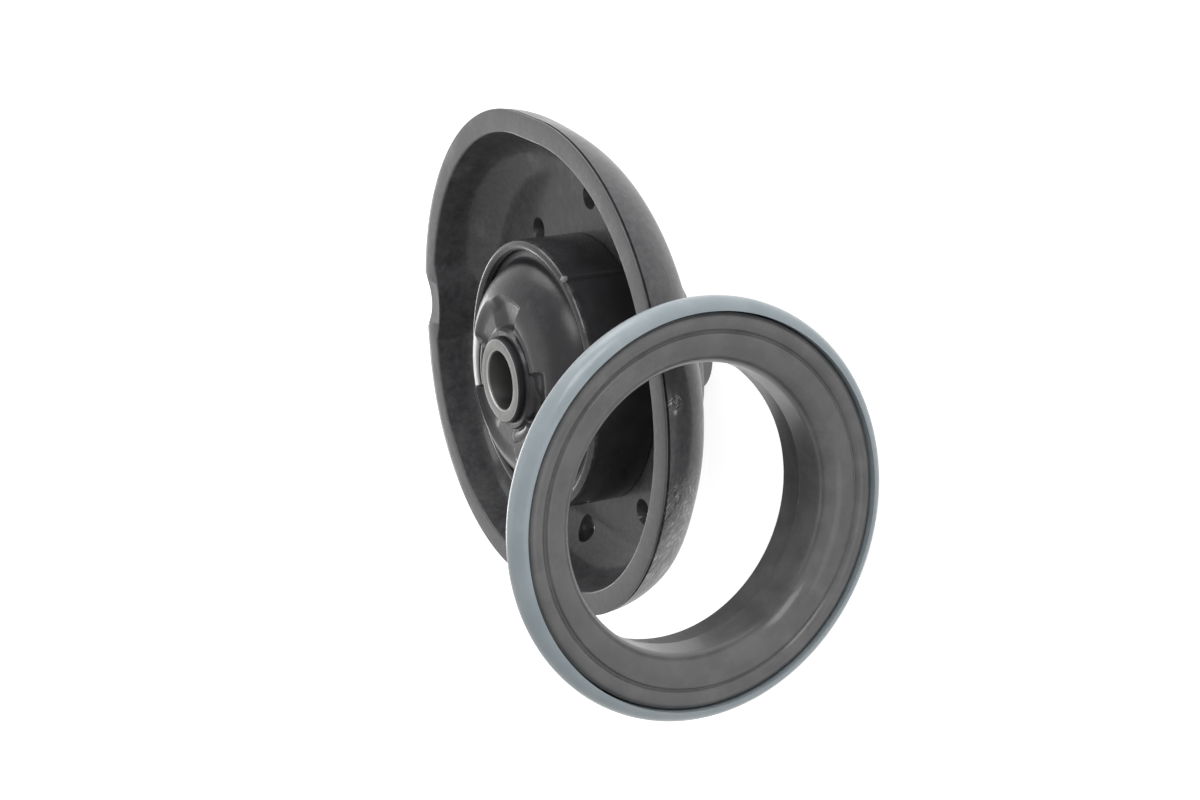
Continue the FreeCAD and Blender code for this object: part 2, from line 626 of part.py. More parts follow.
# Checks, then one file for each piece.
assert rubber_bush.Shape.Volume < solid_dome, "the lobes take nothing away"
assert ball_cage.Shape.Volume < solid_cage, "the windows take nothing away"
for item in doc.Objects:
    state = item.State
    assert "Invalid" not in state and "Error" not in state, item.Label
    if hasattr(item, "Shape"):
        assert not item.Shape.isNull() and item.Shape.isValid(), item.Label
nodes = [
    seat_cup, hub_can, rubber_bush, inner_sleeve, core_plate,
    bearing_top_ring, bearing_base_ring, bearing_rim_seal, upper_race, lower_race, ball_cage,
]
os.makedirs("parts", exist_ok=True)
for node in nodes + balls:
    assert len(node.Shape.Solids) == 1, node.Label
    node.Shape.exportStep(f"parts/{node.Label}.step")
    print(node.Label, round(node.Shape.Volume, 1))
print("bearing at", stand.Base)
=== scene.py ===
# %% [markdown]
# # A strut mount with its bearing taken off
#
# The mount sits between a car's body and its suspension strut. A moulded cup holds a steel can,
# and rubber in the can carries a sleeve for the damper's rod. A thin ball bearing, shown in front,
# lets the spring turn under the cup when the wheels are steered.
#
# The solids come packed, with their sizes and joints. This script dresses them: it gives smooth
# surfaces to the forms that the eye meets first, and a worked finish to everything.

# %% Load the frame
import math
import bpy
import numpy as np
from mathutils import Matrix, Vector


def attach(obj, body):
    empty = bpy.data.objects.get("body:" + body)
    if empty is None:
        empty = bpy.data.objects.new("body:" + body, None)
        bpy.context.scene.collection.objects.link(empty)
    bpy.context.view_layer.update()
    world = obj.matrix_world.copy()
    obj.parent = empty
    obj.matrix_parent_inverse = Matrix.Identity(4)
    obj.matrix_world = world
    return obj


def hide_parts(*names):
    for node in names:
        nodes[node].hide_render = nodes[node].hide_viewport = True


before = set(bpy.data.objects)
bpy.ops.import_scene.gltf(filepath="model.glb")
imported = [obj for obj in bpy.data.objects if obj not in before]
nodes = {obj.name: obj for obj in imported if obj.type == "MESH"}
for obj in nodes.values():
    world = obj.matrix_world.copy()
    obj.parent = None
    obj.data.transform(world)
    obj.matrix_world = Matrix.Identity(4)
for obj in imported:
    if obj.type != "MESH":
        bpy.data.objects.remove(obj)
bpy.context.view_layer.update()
MM = 0.001
SOFT_BELOW = 32  # degrees: edges that turn by less are shaded as one smooth surface


# %% [markdown]
# ## Outlines and grids
#
# Almost every piece here is a closed outline carried round an axis. The outline could be drawn by
# hand and given to a Screw modifier. Working it out with numpy keeps each size readable, and the
# same two helpers, one for arcs and one for eased corners, then serve every piece. A grid of points
# with rows and columns becomes quads in one step, and wrapping both ways leaves no open edge.


# %% Outline helpers
def arc(centre, radius, start, end, steps):
    """Points on a circle: the centre plus the radius times the cosine and sine of the angle."""
    angle = np.radians(np.linspace(start, end, steps + 1))
    points = np.column_stack([np.cos(angle), np.sin(angle)])
    return np.array(centre) + radius * points


def eased(corners, steps=4):
    """A closed outline with rounded corners, from rows of x, y and rounding.

    Each corner becomes an arc: its ends lie one rounding over the tangent of half the corner's
    angle away, and its centre lies on the bisector, one rounding over the sine of that half away.
    """
    corners = np.array(corners, dtype=float)
    point, rounding = corners[:, :2], np.maximum(corners[:, 2], 1e-4)
    back = np.roll(point, 1, axis=0) - point
    ahead = np.roll(point, -1, axis=0) - point
    back /= np.linalg.norm(back, axis=1)[:, None]
    ahead /= np.linalg.norm(ahead, axis=1)[:, None]
    half = 0.5 * np.arccos(np.clip(np.sum(back * ahead, axis=1), -1, 1))
    middle = (back + ahead) / np.maximum(np.linalg.norm(back + ahead, axis=1), 1e-9)[:, None]
    centre = point + middle * (rounding / np.sin(half))[:, None]
    first = point + back * (rounding / np.tan(half))[:, None] - centre
    last = point + ahead * (rounding / np.tan(half))[:, None] - centre
    share = np.linspace(0, 1, steps + 1)[None, :, None]
    spoke = first[:, None, :] * (1 - share) + last[:, None, :] * share
    spoke *= rounding[:, None, None] / np.linalg.norm(spoke, axis=2)[:, :, None]
    outline = (centre[:, None, :] + spoke).reshape(-1, 2)
    apart = np.linalg.norm(outline - np.roll(outline, -1, axis=0), axis=1)
    return outline[apart > 1e-3]


def with_curve(before, curve, after):
    """Corner rows, then a curve's points as unrounded rows, then more corner rows."""
    rows = np.column_stack([curve, np.zeros(len(curve))])
    return np.vstack([np.array(before, dtype=float).reshape(-1, 3), rows,
                      np.array(after, dtype=float).reshape(-1, 3)])


# %% Grid helper
def grid_piece(name, points, body, replaced, soft_below=SOFT_BELOW):
    """A closed piece from a grid of points in millimetres that wraps along rows and columns.

    Row i and column j join to their next neighbours as one quad, and the last row and column join
    the first. Edges that turn by more than soft_below degrees stay sharp.
    """
    rows, columns = points.shape[:2]
    i, j = np.meshgrid(np.arange(rows), np.arange(columns), indexing="ij")
    after_i, after_j = (i + 1) % rows, (j + 1) % columns
    quads = np.stack([i * columns + j, i * columns + after_j,
                      after_i * columns + after_j, after_i * columns + j], axis=-1)
    mesh = bpy.data.meshes.new(name)
    mesh.from_pydata((points.reshape(-1, 3) * MM).tolist(), [], quads.reshape(-1, 4).tolist())
    mesh.update()
    mesh.shade_smooth()
    mesh.set_sharp_from_angle(angle=math.radians(soft_below))
    piece = bpy.data.objects.new(name, mesh)
    bpy.context.scene.collection.objects.link(piece)
    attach(piece, body)
    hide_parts(*replaced)
    print(f"{name}: {len(mesh.vertices)} points, {len(mesh.polygons)} faces")
    return piece


def turned(outline, sides):
    """A grid of points from an outline carried a full turn round Z.

    The outline's first number is the distance from Z, and its second the height. A point is the
    distance times the cosine and sine of its angle, at that height.
    """
    angle = np.linspace(0, 2 * np.pi, sides, endpoint=False)
    radius, height = outline[:, 0][:, None], outline[:, 1][:, None]
    flat = np.zeros_like(angle)[None, :]
    return np.stack([radius * np.cos(angle), radius * np.sin(angle), height + flat], axis=-1)


# %% [markdown]
# ## The cup
#
# The cup is one moulding. Its rim is not round: four arcs of different size meet along short
# straights. It could be sculpted from a cylinder, but a support function is exact: it gives the
# outline's width along each direction, and less width moves the whole outline evenly inwards.
# The wall, the shoulder and the dished floor are then the same outline at other insets and
# heights. A flute, a round channel, runs down the wall on one side.


# %% The rim's outline
CORNER_X = np.array([2.0, 7.7, -2.6, -2.1])
CORNER_Y = np.array([-1.6, 8.8, 12.6, -8.6])
CORNER_RADIUS = np.array([59.3, 55.1, 51.1, 53.8])
DIRECTIONS = 1440    # directions in which the outline's width is worked out
LEAST_FACING = 0.3   # cosine below which a direction can't bound the outline
FAR_AWAY = 1e6       # mm, stands for no bound
FLUTE_TURN = math.radians(87.0)
FLUTE_REACH = 58.9   # mm from the second corner's centre to the middle of the flute's circle
FLUTE_SPAN = 1.2     # radians to each side in which the flute is worked out
FLUTE_FADE = 3.6     # mm of distance gained for each mm past the flute's circle
OUTER_FLUTE = (8.0, 2.6)    # radius and softness of its edge, in mm, outside the wall
INNER_FLUTE = (12.4, 6.0)   # the same inside the wall, where the channel is a ridge
CUP_SIDES = 420


def hull(angle, inset):
    """Distance from the second corner's centre to the rim's outline, moved in by an inset.

    Four circles follow each other round the rim, and each serves the directions between its two
    tangents. The outline's width along a direction is its circle's centre's share plus its radius,
    and the distance at an angle is the smallest width over the cosine between the two directions.
    """
    normal = np.linspace(-np.pi, np.pi, DIRECTIONS, endpoint=False)
    x, y = CORNER_X - CORNER_X[1], CORNER_Y - CORNER_Y[1]
    width = x * np.cos(normal)[:, None] + y * np.sin(normal)[:, None] + CORNER_RADIUS
    step_x, step_y = np.roll(x, -1) - x, np.roll(y, -1) - y
    shrink = (CORNER_RADIUS - np.roll(CORNER_RADIUS, -1)) / np.hypot(step_x, step_y)
    last = np.arctan2(step_y, step_x) - np.arccos(shrink)
    first = np.roll(last, 1)
    served = np.mod(normal[:, None] - first, 2 * np.pi) <= np.mod(last - first, 2 * np.pi)
    width = np.max(np.where(served, width, 0), axis=1)
    facing = np.cos(angle[:, None] - normal[None, :])
    left = width[None, :] - np.broadcast_to(inset, angle.shape)[:, None]
    reach = np.where(facing > LEAST_FACING, left / np.maximum(facing, LEAST_FACING), FAR_AWAY)
    return np.min(reach, axis=1)


def softly_least(a, b, softness):
    """The smaller of two lengths, with the bend between them rounded over the softness."""
    share = np.clip(0.5 + 0.5 * (b - a) / softness, 0, 1)
    return b + (a - b) * share - softness * share * (1 - share)


def wall_ring(angle, inset, height, flute_radius, softness):
    """One ring of the cup's wall: the outline moved in, kept clear of the flute's circle.

    Along a direction, the circle's near side lies at the reach times the cosine, less the root of
    the radius squared less the reach times the sine squared. The ring takes the smaller distance.
    """
    reach = hull(angle, inset)
    off = np.angle(np.exp(1j * (angle - FLUTE_TURN)))
    under = flute_radius**2 - (FLUTE_REACH * np.sin(off))**2
    near = np.abs(off) < FLUTE_SPAN
    flute = FLUTE_REACH * np.cos(off) - np.sqrt(np.maximum(under, 0))
    flute += FLUTE_FADE * np.maximum(np.abs(FLUTE_REACH * np.sin(off)) - flute_radius, 0)
    reach = np.where(near, softly_least(reach, flute, softness), reach)
    x = CORNER_X[1] + reach * np.cos(angle)
    y = CORNER_Y[1] + reach * np.sin(angle)
    return np.column_stack([x, y, np.broadcast_to(height, x.shape)])


# points lie up to six times as close at the flute, which is half-way round from the first point
CLOSER, CLOSE_SHARE = 5, 0.045
share = np.linspace(0, 1, 2001)
density = 1 + CLOSER * np.exp(-((share - 0.5) / CLOSE_SHARE) ** 4)
spread = np.concatenate([[0], np.cumsum((density[1:] + density[:-1]) / 2)])
even = np.arange(CUP_SIDES) / CUP_SIDES * spread[-1]
cup_angle = FLUTE_TURN - np.pi + 2 * np.pi * np.interp(even, spread, share)
rim_reach = float(hull(np.zeros(1), 0)[0])
print("rim is", round(rim_reach, 2), "mm from the second centre along X")

# %% [markdown]
# The cup's section runs in one loop: over the rim's edge, through the thin groove under it, round
# the shoulder, under the floor to the pilot collar, up the collar's bore, across the floor, up the
# inner fillet and the drafted wall, and back to the rim. The shoulder is rounder on one side, as
# the photo's contour asks. The collar is hidden in the photo, so its end has a long chamfer that
# keeps it behind that contour. Rings near the hub are circles about the rod's axis, and the rows
# between blend by themselves.


# %% The cup's rings
DRAFT = 6            # degrees that the inner wall leans
WALL_TILT = math.tan(math.radians(DRAFT))
WALL_INSET = 5.6     # mm from the outline to the inner wall at the rim
FLOOR_DEPTH = 15.2   # mm from the rim's plane to the floor
UNDERSIDE = 18.8     # mm from the rim's plane to the floor's underside
SHOULDER_TOP, SHOULDER_INSET = 1.2, 0.12   # mm below and inside the rim where the shoulder starts
TIGHT_SHOULDER, WIDE_SHOULDER = 18.6, 22.0
WIDE_TURN, WIDE_TO, WIDE_FADE = -72.0, 44, 20   # degrees: its middle, half span and run-out


def bent_wall(start, depth, rounding, steps):
    """Rows of inset and height: an arc that touches the drafted wall and the floor.

    The wall comes in by its tilt times the depth down to the arc. From there the inset grows by
    the rounding times the cosine that is used up, and the height over the floor is the rounding
    times one less the sine.
    """
    angle = np.radians(np.linspace(DRAFT, 90, steps))
    straight = (depth - rounding * (1 - np.sin(angle[0]))) * WALL_TILT
    foot = start + straight + rounding * np.cos(angle[0])
    return np.column_stack([foot - rounding * np.cos(angle),
                            rounding * (1 - np.sin(angle)) - depth])


def axis_ring(radius, height, like):
    """A circle about the rod's axis whose points face the same way as another ring's."""
    angle = np.arctan2(like[:, 1], like[:, 0])
    return np.column_stack([radius * np.cos(angle), radius * np.sin(angle),
                            np.full_like(angle, height)])


quarter = np.radians(np.linspace(0, 90, 5))
outer_lip = 0.3 * np.column_stack([1 - np.sin(quarter), np.cos(quarter) - 1])
groove = np.array([[0.0, -0.4], [0.85, -0.45], [0.85, -0.98], [0.1, -1.05]])
inner_lip = np.column_stack([WALL_INSET - 0.5 * (1 - np.cos(quarter)), 0.5 * (np.sin(quarter) - 1)])
along_shoulder = np.linspace(0, 1, 22)[:, None]


def shoulder_rows(radius):
    """Rows of inset and height on the shoulder's arc, from just under the rim to the underside.

    The arc touches the underside, and its first angle is the one whose sine is one less the drop
    over the radius, so that an arc of any radius starts at the same inset and height.
    """
    first = math.asin(1 - (UNDERSIDE - SHOULDER_TOP) / radius)
    angle = first + (math.pi / 2 - first) * along_shoulder
    inset = SHOULDER_INSET + radius * (math.cos(first) - np.cos(angle))
    return inset, radius * (1 - np.sin(angle)) - UNDERSIDE


def smooth_step(x):
    """Rises from 0 to 1 with a level start and end: three x squared less two x cubed."""
    x = np.clip(x, 0, 1)
    return x * x * (3 - 2 * x)


cup_turn = np.degrees(np.angle(np.exp(1j * (cup_angle - np.radians(WIDE_TURN)))))
fuller = smooth_step(1 - (np.abs(cup_turn) - WIDE_TO) / WIDE_FADE)
tight, wide = shoulder_rows(TIGHT_SHOULDER), shoulder_rows(WIDE_SHOULDER)
shoulder_inset = tight[0] * (1 - fuller) + wide[0] * fuller
shoulder_height = tight[1] * (1 - fuller) + wide[1] * fuller
outer_rows = np.vstack([[[1.6, 0.0]], outer_lip, groove])
inner_fillet = bent_wall(WALL_INSET, FLOOR_DEPTH, 10.5, 16)[::-1]
inner_rows = np.vstack([inner_fillet, inner_lip])
cup_rings = [wall_ring(cup_angle, inset, height, *OUTER_FLUTE) for inset, height in outer_rows]
cup_rings += [wall_ring(cup_angle, inset, height, *OUTER_FLUTE)
              for inset, height in zip(shoulder_inset, shoulder_height)]
under = cup_rings[-1]
# radius and height round the collar: out and down to its end, then up its bore to the floor
collar = [(34.1, -UNDERSIDE), (33.3, -19.1), (30.5, -21.8), (30.3, -22.3), (30.3, -28.2),
          (27.7, -30.8), (27.4, -30.8), (26.95, -30.3), (26.95, -16.0), (27.3, -FLOOR_DEPTH),
          (31.5, -FLOOR_DEPTH)]
cup_rings += [axis_ring(radius, height, under) for radius, height in collar]
cup_rings += [wall_ring(cup_angle, inset, height, *INNER_FLUTE) for inset, height in inner_rows]
cup_grid = np.array(cup_rings)
print("cup grid:", cup_grid.shape)
seat_cup = grid_piece("cup", cup_grid, "mount", ["seat_cup"])

# %% [markdown]
# Four round holes go through the floor. They could be left out of the grid by hand, but a Boolean
# cut gives each one a clean wall. The plug that cuts starts above the fillet, so that its cap cuts
# nothing, and narrows near its foot, because the photo's holes show no light through them.


# %% Floor holes
PLUG_SIDES = 48
# radius and height of a plug's circles, from the top
PLUG = np.array([(3.4, -8.0), (3.4, -14.6), (3.3, -14.9), (2.2, -16.9), (2.2, -20.0)])
HOLES = ((39.1, 37), (41.9, -6), (39.1, 217), (41.9, 174))   # mm from the axis, degrees round it


def plug(centre_x, centre_y):
    """A closed round plug: circles stacked at their heights, with a flat cap at each end."""
    points = (turned(PLUG, PLUG_SIDES) + np.array([centre_x, centre_y, 0])).reshape(-1, 3)
    upper, j = np.meshgrid(np.arange(len(PLUG) - 1) * PLUG_SIDES, np.arange(PLUG_SIDES),
                           indexing="ij")
    lower, after = upper + PLUG_SIDES, (j + 1) % PLUG_SIDES
    sides = np.stack([lower + j, lower + after, upper + after, upper + j], axis=-1)
    top_cap = np.arange(PLUG_SIDES)
    bottom_cap = (top_cap + (len(PLUG) - 1) * PLUG_SIDES)[::-1]
    return points, sides.reshape(-1, 4).tolist() + [top_cap.tolist(), bottom_cap.tolist()]


cutter_points, cutter_faces = [], []
for out, round_axis in HOLES:
    hole_turn = math.radians(round_axis)
    points, faces = plug(out * math.cos(hole_turn), out * math.sin(hole_turn))
    shift = len(points) * len(cutter_points)
    cutter_points.append(points)
    cutter_faces += [[corner + shift for corner in face] for face in faces]
cutter_mesh = bpy.data.meshes.new("floor_plugs")
cutter_mesh.from_pydata((np.vstack(cutter_points) * MM).tolist(), [], cutter_faces)
cutter = bpy.data.objects.new("floor_plugs", cutter_mesh)
bpy.context.scene.collection.objects.link(cutter)
cut = seat_cup.modifiers.new("floor holes", "BOOLEAN")
cut.operation = "DIFFERENCE"
cut.solver = "EXACT"
cut.object = cutter
bpy.context.view_layer.update()
depsgraph = bpy.context.evaluated_depsgraph_get()
drilled = bpy.data.meshes.new_from_object(seat_cup.evaluated_get(depsgraph))
seat_cup.modifiers.clear()
seat_cup.data = drilled
bpy.data.objects.remove(cutter)
drilled.set_sharp_from_angle(angle=math.radians(SOFT_BELOW))
print("cup after the cut:", len(drilled.polygons), "faces")

# %% [markdown]
# ## The steel can
#
# The can is deep-drawn sheet, black from its coating. Its lip rolls over inwards to hold the
# rubber, so its edge is a half circle and not a corner. A single outline turned round the axis
# shows that best. One small bead of hardened coating stands on the lip: the grid's points near it
# are pushed out by a half circle over their distance from its middle.

# %% Can
NUB_REACH, NUB_TURN, NUB_HEIGHT, NUB_SIZE = 32.4, math.radians(-38), 0.4, 0.85
lip = arc((31.3, 0.0), 1.2, 0, 180, 14)
can_outline = eased(with_curve([(32.5, -15.1, 0.4)], lip, [
    (30.1, -0.9, 0.2), (31.0, -1.6, 0.2), (31.0, -13.7, 0.5), (25.4, -13.7, 0.5),
    (25.4, -29.4, 0.3), (26.9, -29.4, 0.3), (26.9, -15.1, 0.1)]))
can_grid = turned(can_outline, sides=576)
nub = np.array([NUB_REACH * math.cos(NUB_TURN), NUB_REACH * math.sin(NUB_TURN), NUB_HEIGHT])
nub_out = np.array([0.64, -0.5, 0.58])   # the way it stands out from the lip
far = np.linalg.norm(can_grid - nub, axis=-1)
swell = NUB_SIZE * np.sqrt(np.clip(1 - (far / NUB_SIZE) ** 2, 0, 1))
can_grid += swell[..., None] * nub_out
print("nub raises", int((swell > 0).sum()), "points")
hub_can = grid_piece("can", can_grid, "mount", ["hub_can"])

# %% [markdown]
# ## The rubber bush
#
# The dome is moulded and bonded in one go. Three recesses near the sleeve let the rubber give. Each
# is a deep pit at one end and a shallow terrace at the other. A height over angle and distance is
# enough for this: the dome's arc, lowered to the recess floor inside a recess's edge.


# %% Rubber
def well(x):
    """Rises from 0 to 1, fast at first and level at its end: one less the square of the rest."""
    return 1 - (1 - np.clip(x, 0, 1)) ** 2


# start, end of the pit, start of the terrace and end of each recess, in degrees round the sleeve
RECESSES = [(-25.0, 6.0, 30.0, 64.0), (104.0, 128.0, 148.0, 187.0),
            (-135.0, -106.0, -88.0, -75.0)]
DOME_RADIUS, DOME_MIDDLE, DOME_BASE = 12.9, 15.8, -5.6   # mm: the dome's arc in section
CROWN_TOP, CROWN_REACH, CROWN_EDGE = 7.25, 14.0, 15.2    # mm: the nearly level crown inside it
PIT_FLOOR, TERRACE_FLOOR = 4.5, 6.0                      # mm above the rim's plane
CUFF_TOP, CUFF_EDGE = 7.4, 11.7                          # mm: the cuff that grips the sleeve


def dome_height(radius, angle):
    """The rubber's top: a cuff round the sleeve, a crown, a dome's arc, and three recesses.

    The crown falls by a quarter of the square of the distance from its reach. A recess lowers the
    dome by a product of three wells: one over the way in from its two radial edges, one from its
    outer edge, which has a small point half-way, and one from the cuff. Its floor rises smoothly
    from the pit to the terrace.
    """
    arc_height = DOME_BASE + np.sqrt(np.maximum(DOME_RADIUS**2 - (radius - DOME_MIDDLE) ** 2, 0))
    crown = CROWN_TOP - 0.25 * (radius - CROWN_REACH) ** 2
    height = np.where(radius > CROWN_EDGE, arc_height, crown)
    turn = (np.degrees(angle) + 140) % 360 - 140   # degrees, from -140 to 220
    for start, pit_end, terrace_start, end in RECESSES:
        rise = smooth_step((turn - pit_end) / (terrace_start - pit_end))
        side = np.minimum(turn - start, end - turn) * np.pi / 180 * np.maximum(radius, 12)
        point = np.exp(-(((turn - (pit_end + terrace_start) / 2) / 7.0) ** 2))
        outer = 20.2 - 0.7 * point
        pit = PIT_FLOOR + 0.8 * smooth_step((radius - 12.0) / 8.0)
        floor = pit * (1 - rise) + TERRACE_FLOOR * rise
        lowered = well(side) * well((outer - radius) / (2.4 + 1.6 * rise))
        lowered = lowered * well((radius - 12.2) / 0.9)
        height = height + (np.minimum(floor, height) - height) * lowered
    cuff = 1 - smooth_step((radius - CUFF_EDGE) / 0.5)
    cuff_height = CUFF_TOP - 0.25 * smooth_step((10.6 - radius) / 0.5)
    return height + (cuff_height - height) * cuff


BUSH_SIDES = 540
bush_angle = np.linspace(0, 2 * np.pi, BUSH_SIDES, endpoint=False)
top_radius = np.concatenate([[10.1, 10.35, 10.6, 11.2], np.linspace(11.7, 21.5, 54),
                             np.linspace(21.8, 27.7, 22)])
top_z = dome_height(top_radius[:, None], bush_angle[None, :])
top = np.stack([top_radius[:, None] * np.cos(bush_angle),
                top_radius[:, None] * np.sin(bush_angle), top_z], axis=-1)
# radius and height from the dome's edge down inside the can and up again round the core plate
body_outline = np.array([
    (27.85, -0.85), (28.2, -1.2), (28.6, -1.3), (29.4, -1.3), (31.0, -1.7), (31.0, -8.0),
    (31.0, -13.7), (25.4, -13.7), (25.4, -29.4), (10.1, -29.4), (10.1, -16.0), (20.0, -16.0),
    (20.0, -12.0), (10.1, -12.0)])
bush_grid = np.concatenate([top, turned(body_outline, BUSH_SIDES)])[::-1]
bush = grid_piece("bush", bush_grid, "mount", ["rubber_bush"], soft_below=50)

# %% [markdown]
# ## The sleeve
#
# A plain steel tube that the damper's rod passes through. Its upper end shows in the mouth and its
# foot under the cup, and a broken edge inside and out is what catches the light there.

# %% Sleeve
SLEEVE_FOOT, SLEEVE_TOP, SLEEVE_BORE, SLEEVE_OUTSIDE = -44.3, 9.0, 7.1, 10.1
sleeve_outline = eased([(SLEEVE_BORE, SLEEVE_FOOT, 0.3), (SLEEVE_OUTSIDE, SLEEVE_FOOT, 0.5),
                        (SLEEVE_OUTSIDE, SLEEVE_TOP, 0.7), (SLEEVE_BORE, SLEEVE_TOP, 0.45)])
sleeve = grid_piece("sleeve", turned(sleeve_outline, sides=128), "mount",
                    ["inner_sleeve"])

# %% [markdown]
# ## The bearing's rings
#
# The bearing stands on its edge against the cup, so its rings are drawn about their own axis
# first, and one matrix lays them in place. The top ring shows a round bead, a crease and a wide
# bell-mouth, the soft blue-grey rim is a separate moulding, and between them runs the gap in which
# the ring turns.

# %% Where the bearing stands
LEAN = math.radians(91.1)   # a right angle to the rod's axis and 1.1 degrees more
bearing_centre = np.array([-15.9, -78.3814, 0.0726])
lay = np.array([[1, 0, 0],
                [0, math.cos(LEAN), -math.sin(LEAN)],
                [0, math.sin(LEAN), math.cos(LEAN)]])


def laid(grid):
    """A grid turned into the bearing's stance and moved to its centre."""
    return grid @ lay.T + bearing_centre


print("the bearing's centre in mm:", bearing_centre.tolist())

# %% Top ring
RING_SIDES = 288
bead = arc((39.4, -1.45), 2.15, 29, 150, 22)
bell = arc((35.3, -4.7), 4.8, 90, 180, 26)
brow = arc((36.5, -0.55), 0.65, 52, 90, 8)
fold = [(37.3, -0.66, 0.25)]   # the crease between the bead and the brow
top_outline = eased(with_curve(with_curve(with_curve([], bead, fold), brow, []), bell, [
    (30.5, -11.1, 0.15), (32.1, -11.1, 0.15), (34.5, -4.41, 0.2), (38.95, -4.41, 0.1),
    (38.95, -5.01, 0.1), (41.3, -5.01, 0.1)]))
top_ring = grid_piece("top_ring", laid(turned(top_outline, RING_SIDES)), "bearing_top",
                      ["bearing_top_ring"])

# %% Rim seal
bulb = arc((41.1, -2.2), 3.3, -61, 81, 26)
seal_outline = eased(with_curve([], bulb, [(41.6, -1.6, 0), (42.7, -1.6, 0)]))
rim_seal = grid_piece("rim_seal", laid(turned(seal_outline, RING_SIDES)), "mount",
                      ["bearing_rim_seal"])

# %% Base ring
base_outline = eased([
    (33.2, -11.5, 0.2), (33.2, -9.1, 0.1), (38.95, -9.1, 0.2), (41.6, -5.1, 0.3),
    (41.6, -1.6, 0.05), (42.7, -1.6, 0.05), (42.7, -5.1, 0.3), (39.35, -10.7, 0.6),
    (34.5, -10.7, 0.4), (33.9, -19.0, 0.5), (31.7, -19.0, 0.5), (31.7, -11.5, 0.3)])
base_ring = grid_piece("base_ring", laid(turned(base_outline, sides=256)[::-1]), "mount",
                       ["bearing_base_ring"])

# %% [markdown]
# ## Finishes shared by several materials
#
# Three effects are built once: the fine grain of a moulded, coated or ground surface, cloudy
# handling marks, and a patch of scratches with a haze round them, for the cup's three scuffs.
# Noise over the piece's own coordinates needs no seams and stays sharp from near. Each effect is a
# node group with named sockets, and every material sets its own amounts. The groups give out only
# masks and heights.


# %% Node helpers
def new_group(name, inputs, outputs):
    """An empty node group with named sockets: rows of name, kind and starting value."""
    group = bpy.data.node_groups.new(name, "ShaderNodeTree")
    for label, kind, value in inputs:
        socket = group.interface.new_socket(name=label, in_out="INPUT", socket_type=kind)
        if value is not None:
            socket.default_value = value
    for label, kind in outputs:
        group.interface.new_socket(name=label, in_out="OUTPUT", socket_type=kind)
    return group, group.nodes.new("NodeGroupInput"), group.nodes.new("NodeGroupOutput")


def add(tree, kind, **settings):
    """A node of a kind, with its plain settings given by name."""
    node = tree.nodes.new(kind)
    for key, value in settings.items():
        setattr(node, key, value)
    return node


def join(tree, source, target):
    """A link from an output socket to an input socket."""
    tree.links.new(source, target)


def maths(tree, operation, first, second=None, clamp=False):
    """A maths node whose inputs are sockets or numbers; gives its output socket."""
    node = add(tree, "ShaderNodeMath", operation=operation, use_clamp=clamp)
    for socket, value in zip(node.inputs, (first, second)):
        if value is None:
            continue
        if isinstance(value, (int, float)):
            socket.default_value = value
        else:
            join(tree, value, socket)
    return node.outputs[0]


def times(tree, first, second, clamp=False):
    """The product of two sockets or numbers."""
    return maths(tree, "MULTIPLY", first, second, clamp)


def noise(tree, vector, scale, detail, rough=0.55):
    """A noise texture's value at a vector; the scale is a number or a socket."""
    node = add(tree, "ShaderNodeTexNoise")
    join(tree, vector, node.inputs["Vector"])
    if isinstance(scale, (int, float)):
        node.inputs["Scale"].default_value = scale
    else:
        join(tree, scale, node.inputs["Scale"])
    node.inputs["Detail"].default_value = detail
    node.inputs["Roughness"].default_value = rough
    return node.outputs["Fac"]


def between(tree, value, low, high):
    """A value's place between two limits, from 0 to 1, with a soft start and end."""
    node = add(tree, "ShaderNodeMapRange", interpolation_type="SMOOTHSTEP")
    join(tree, value, node.inputs["Value"])
    node.inputs["From Min"].default_value = low
    node.inputs["From Max"].default_value = high
    return node.outputs["Result"]


# %% Grain
grain_group, given, gives = new_group(
    "fine grain", [("Vector", "NodeSocketVector", None), ("Size", "NodeSocketFloat", 900.0)],
    [("Height", "NodeSocketFloat"), ("Cloud", "NodeSocketFloat")])
CLOUD_SCALE = 0.12   # the clouds' noise against the grain's
where, size = given.outputs["Vector"], given.outputs["Size"]
fine = noise(grain_group, where, size, 2.0)
coarse = noise(grain_group, where, times(grain_group, size, CLOUD_SCALE), 4.0)
grain_height = maths(grain_group, "ADD", times(grain_group, fine, 0.6),
                     times(grain_group, coarse, 0.4))
join(grain_group, grain_height, gives.inputs["Height"])
join(grain_group, between(grain_group, coarse, 0.32, 0.68), gives.inputs["Cloud"])

# %% Handling marks
smudge_group, given, gives = new_group(
    "handling marks", [("Vector", "NodeSocketVector", None), ("Amount", "NodeSocketFloat", 1.0)],
    [("Mask", "NodeSocketFloat")])
where = given.outputs["Vector"]
broad = between(smudge_group, noise(smudge_group, where, 38.0, 5.0, 0.62), 0.5, 0.72)
streak = between(smudge_group, noise(smudge_group, where, 210.0, 3.0, 0.7), 0.42, 0.7)
mask = times(smudge_group, times(smudge_group, broad, streak), given.outputs["Amount"], True)
join(smudge_group, mask, gives.inputs["Mask"])

